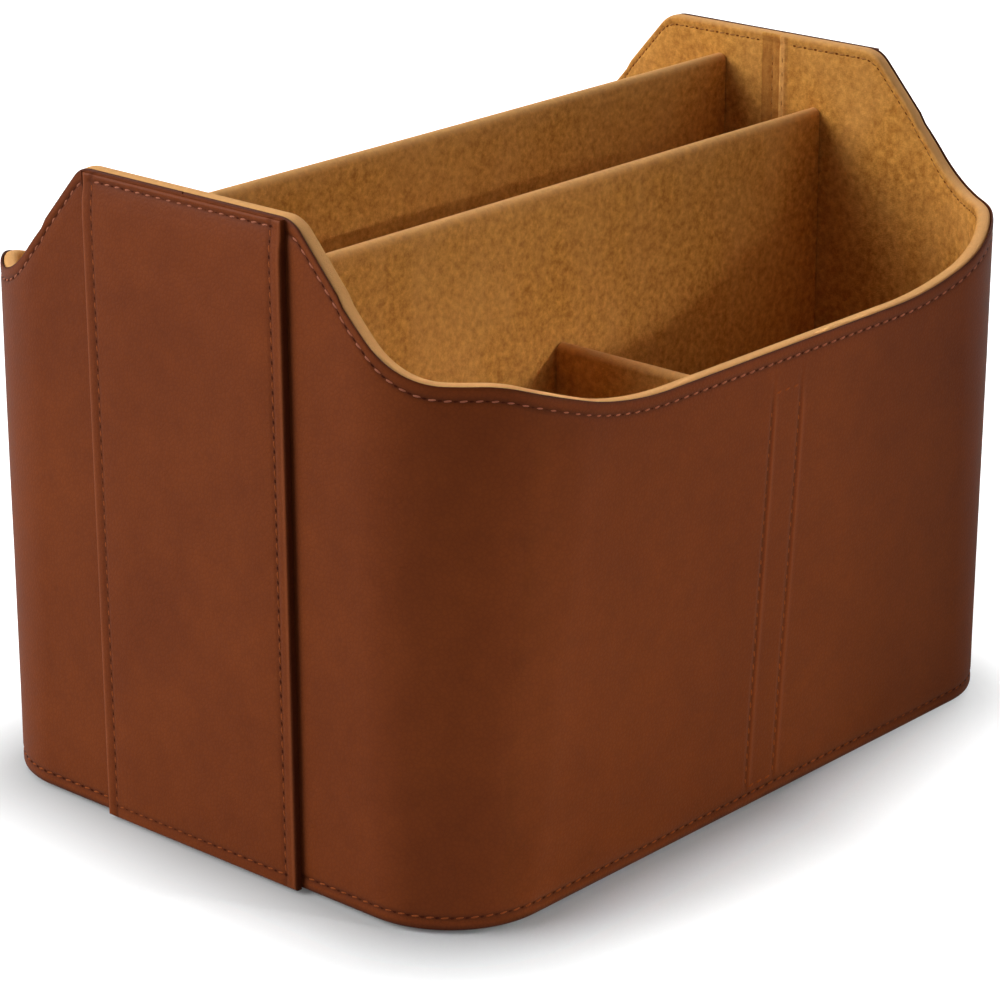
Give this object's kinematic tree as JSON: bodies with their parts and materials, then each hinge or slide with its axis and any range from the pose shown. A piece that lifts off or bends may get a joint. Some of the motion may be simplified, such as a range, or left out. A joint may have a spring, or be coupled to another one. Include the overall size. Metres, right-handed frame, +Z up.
{
  "type": "remote control holder",
  "caption": "Leather-covered desk caddy lined with suede, with high ends, a swept rim, a central slot for a tablet and open compartments in front and behind for remote controls and pens.",
  "frame": {"origin": "centre of the footprint, on the table under the base", "axes": "+X along the length towards the right end, +Y from the front to the back, +Z up"},
  "size_m": [0.2548, 0.2056, 0.188],
  "materials": {
    "leather": "smooth cognac brown leather, satin",
    "suede": "short-nap tan suede, matt",
    "board": "plain grey-brown board, hidden inside",
    "underside": "dark felt, matt"
  },
  "bodies": {
    "root": {"front_leather": "leather", "back_leather": "leather", "front_board": "board", "back_board": "board", "front_lining": "suede", "back_lining": "suede", "left_end_panel": "leather", "right_end_panel": "leather", "left_panel_backing": "board", "right_panel_backing": "board", "base_board": "board", "base_cover": "underside", "floor_lining": "suede", "front_divider_board": "board", "front_divider_cover": "suede", "rear_divider_board": "board", "rear_divider_cover": "suede", "front_cross_board": "board", "front_cross_cover": "suede", "back_cross_board": "board", "back_cross_cover": "suede"}
  },
  "joints": []
}
